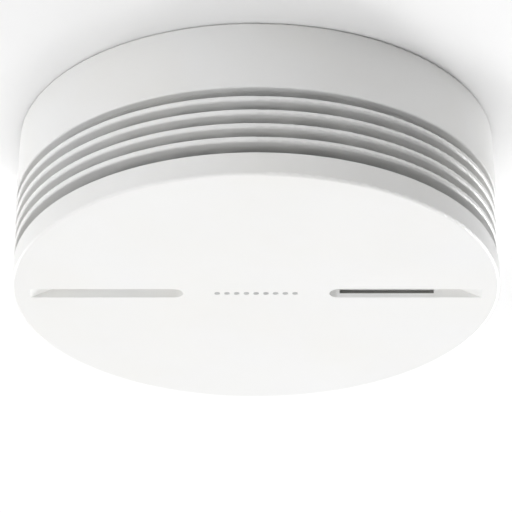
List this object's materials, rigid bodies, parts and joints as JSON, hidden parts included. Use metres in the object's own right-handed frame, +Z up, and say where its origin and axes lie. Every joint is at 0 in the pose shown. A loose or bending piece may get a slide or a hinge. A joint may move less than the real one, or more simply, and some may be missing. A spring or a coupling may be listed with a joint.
{
  "type": "smoke detector",
  "caption": "Round ceiling smoke alarm with ring louvres, a twist-on mounting plate and a whole face that presses as the test button.",
  "frame": {"origin": "centre of the mounting plate's flat face, where it lies on the ceiling", "axes": "+Z up into the ceiling, so the alarm hangs below the origin and faces -Z; +X points to the sounder slot in the face and -X to the status light slot"},
  "size_m": [0.115, 0.115, 0.0397],
  "materials": {
    "white_body": "fine satin moulded texture",
    "zinc_steel": "zinc plated",
    "spring_steel": "bright drawn wire and strip",
    "silicone": "translucent, matt",
    "screen_steel": "thin etched sheet",
    "tin_can": "tin plated",
    "can_aluminium": "satin",
    "cell_wrap": "heat-shrink film over a metal can, plain",
    "frosted_pipe": "frosted",
    "dust_mesh": "woven mesh",
    "board": "green solder resist",
    "copper_trace": "tinned copper",
    "chip_black": "moulded epoxy",
    "lamp_clear": "clear moulded",
    "lamp_dark": "dark tinted",
    "switch_cap": "smooth",
    "sensor_white": "smooth, self-lubricating",
    "chamber_black": "light-trapping texture",
    "horn_black": "moulded",
    "brass": "satin",
    "ceramic_white": "silvered ceramic"
  },
  "bodies": {
    "mount": {"mounting_plate": "white_body"},
    "alarm_head": {"rear_housing": "white_body", "vent_cage": "white_body", "vent_screen": "screen_steel", "louvre_ring_1": "white_body", "louvre_ring_2": "white_body", "louvre_ring_3": "white_body", "louvre_ring_4": "white_body", "housing_screws": "zinc_steel", "board_screws": "zinc_steel", "chamber_screws": "zinc_steel", "cover_springs": "silicone", "mount_sensor_spring": "spring_steel", "circuit_board": "board", "radio_module": "board", "radio_shield": "tin_can", "radio_antenna": "copper_trace", "microcontroller": "chip_black", "chip_parts": "chip_black", "driver_coil": "chip_black", "capacitors": "can_aluminium", "status_light": "lamp_clear", "test_switch": "chip_black", "mount_sensor_switch": "chip_black", "chamber_base": "chamber_black", "chamber_cover": "chamber_black", "insect_screen": "screen_steel", "infrared_lamp": "lamp_dark", "photodiode": "lamp_dark", "sounder_horn": "horn_black", "sounder_diaphragm": "brass", "sounder_ceramic": "ceramic_white", "sounder_retainer": "horn_black", "sounder_contacts": "brass", "cell_saddles": "white_body", "cell_tabs": "tin_can", "lithium_cell_1": "cell_wrap", "lithium_cell_2": "cell_wrap"},
    "face_button": {"front_cover": "white_body", "status_light_pipe": "frosted_pipe", "sound_mesh": "dust_mesh"},
    "switch_key": {"test_switch_cap": "switch_cap"},
    "sensor_pin": {"mount_sensor_pin": "sensor_white"},
    "sensor_lever": {"mount_sensor_lever": "spring_steel"}
  },
  "joints": [
    {"name": "head_twist", "type": "hinge", "parent": "mount", "child": "alarm_head", "pos_m": [0, 0, 0], "axis": [0, 0, -1], "range_deg": [0, 20]},
    {"name": "face_press", "type": "slide", "parent": "alarm_head", "child": "face_button", "axis": [0, 0, 1], "range_m": [0, 0.0006], "stiffness_N_per_m": 3000, "springref_m": -0.001, "deforming": ["cover_springs"]},
    {"name": "key_press", "type": "slide", "parent": "alarm_head", "child": "switch_key", "axis": [0, 0, 1], "range_m": [0, 0.0006]},
    {"name": "pin_rise", "type": "slide", "parent": "alarm_head", "child": "sensor_pin", "axis": [0, 0, 1], "range_m": [0, 0.002], "deforming": ["mount_sensor_spring"]},
    {"name": "lever_swing", "type": "hinge", "parent": "alarm_head", "child": "sensor_lever", "pos_m": [-0.0156, 0.03742, -0.01415], "axis": [0, -1, 0], "range_deg": [0, 18]}
  ],
  "couplings": [
    {"joint": "key_press", "follows": "face_press", "ratio": 1},
    {"joint": "pin_rise", "follows": "head_twist", "m_per_rad": 0.0057295},
    {"joint": "lever_swing", "follows": "head_twist", "ratio": 0.9}
  ]
}
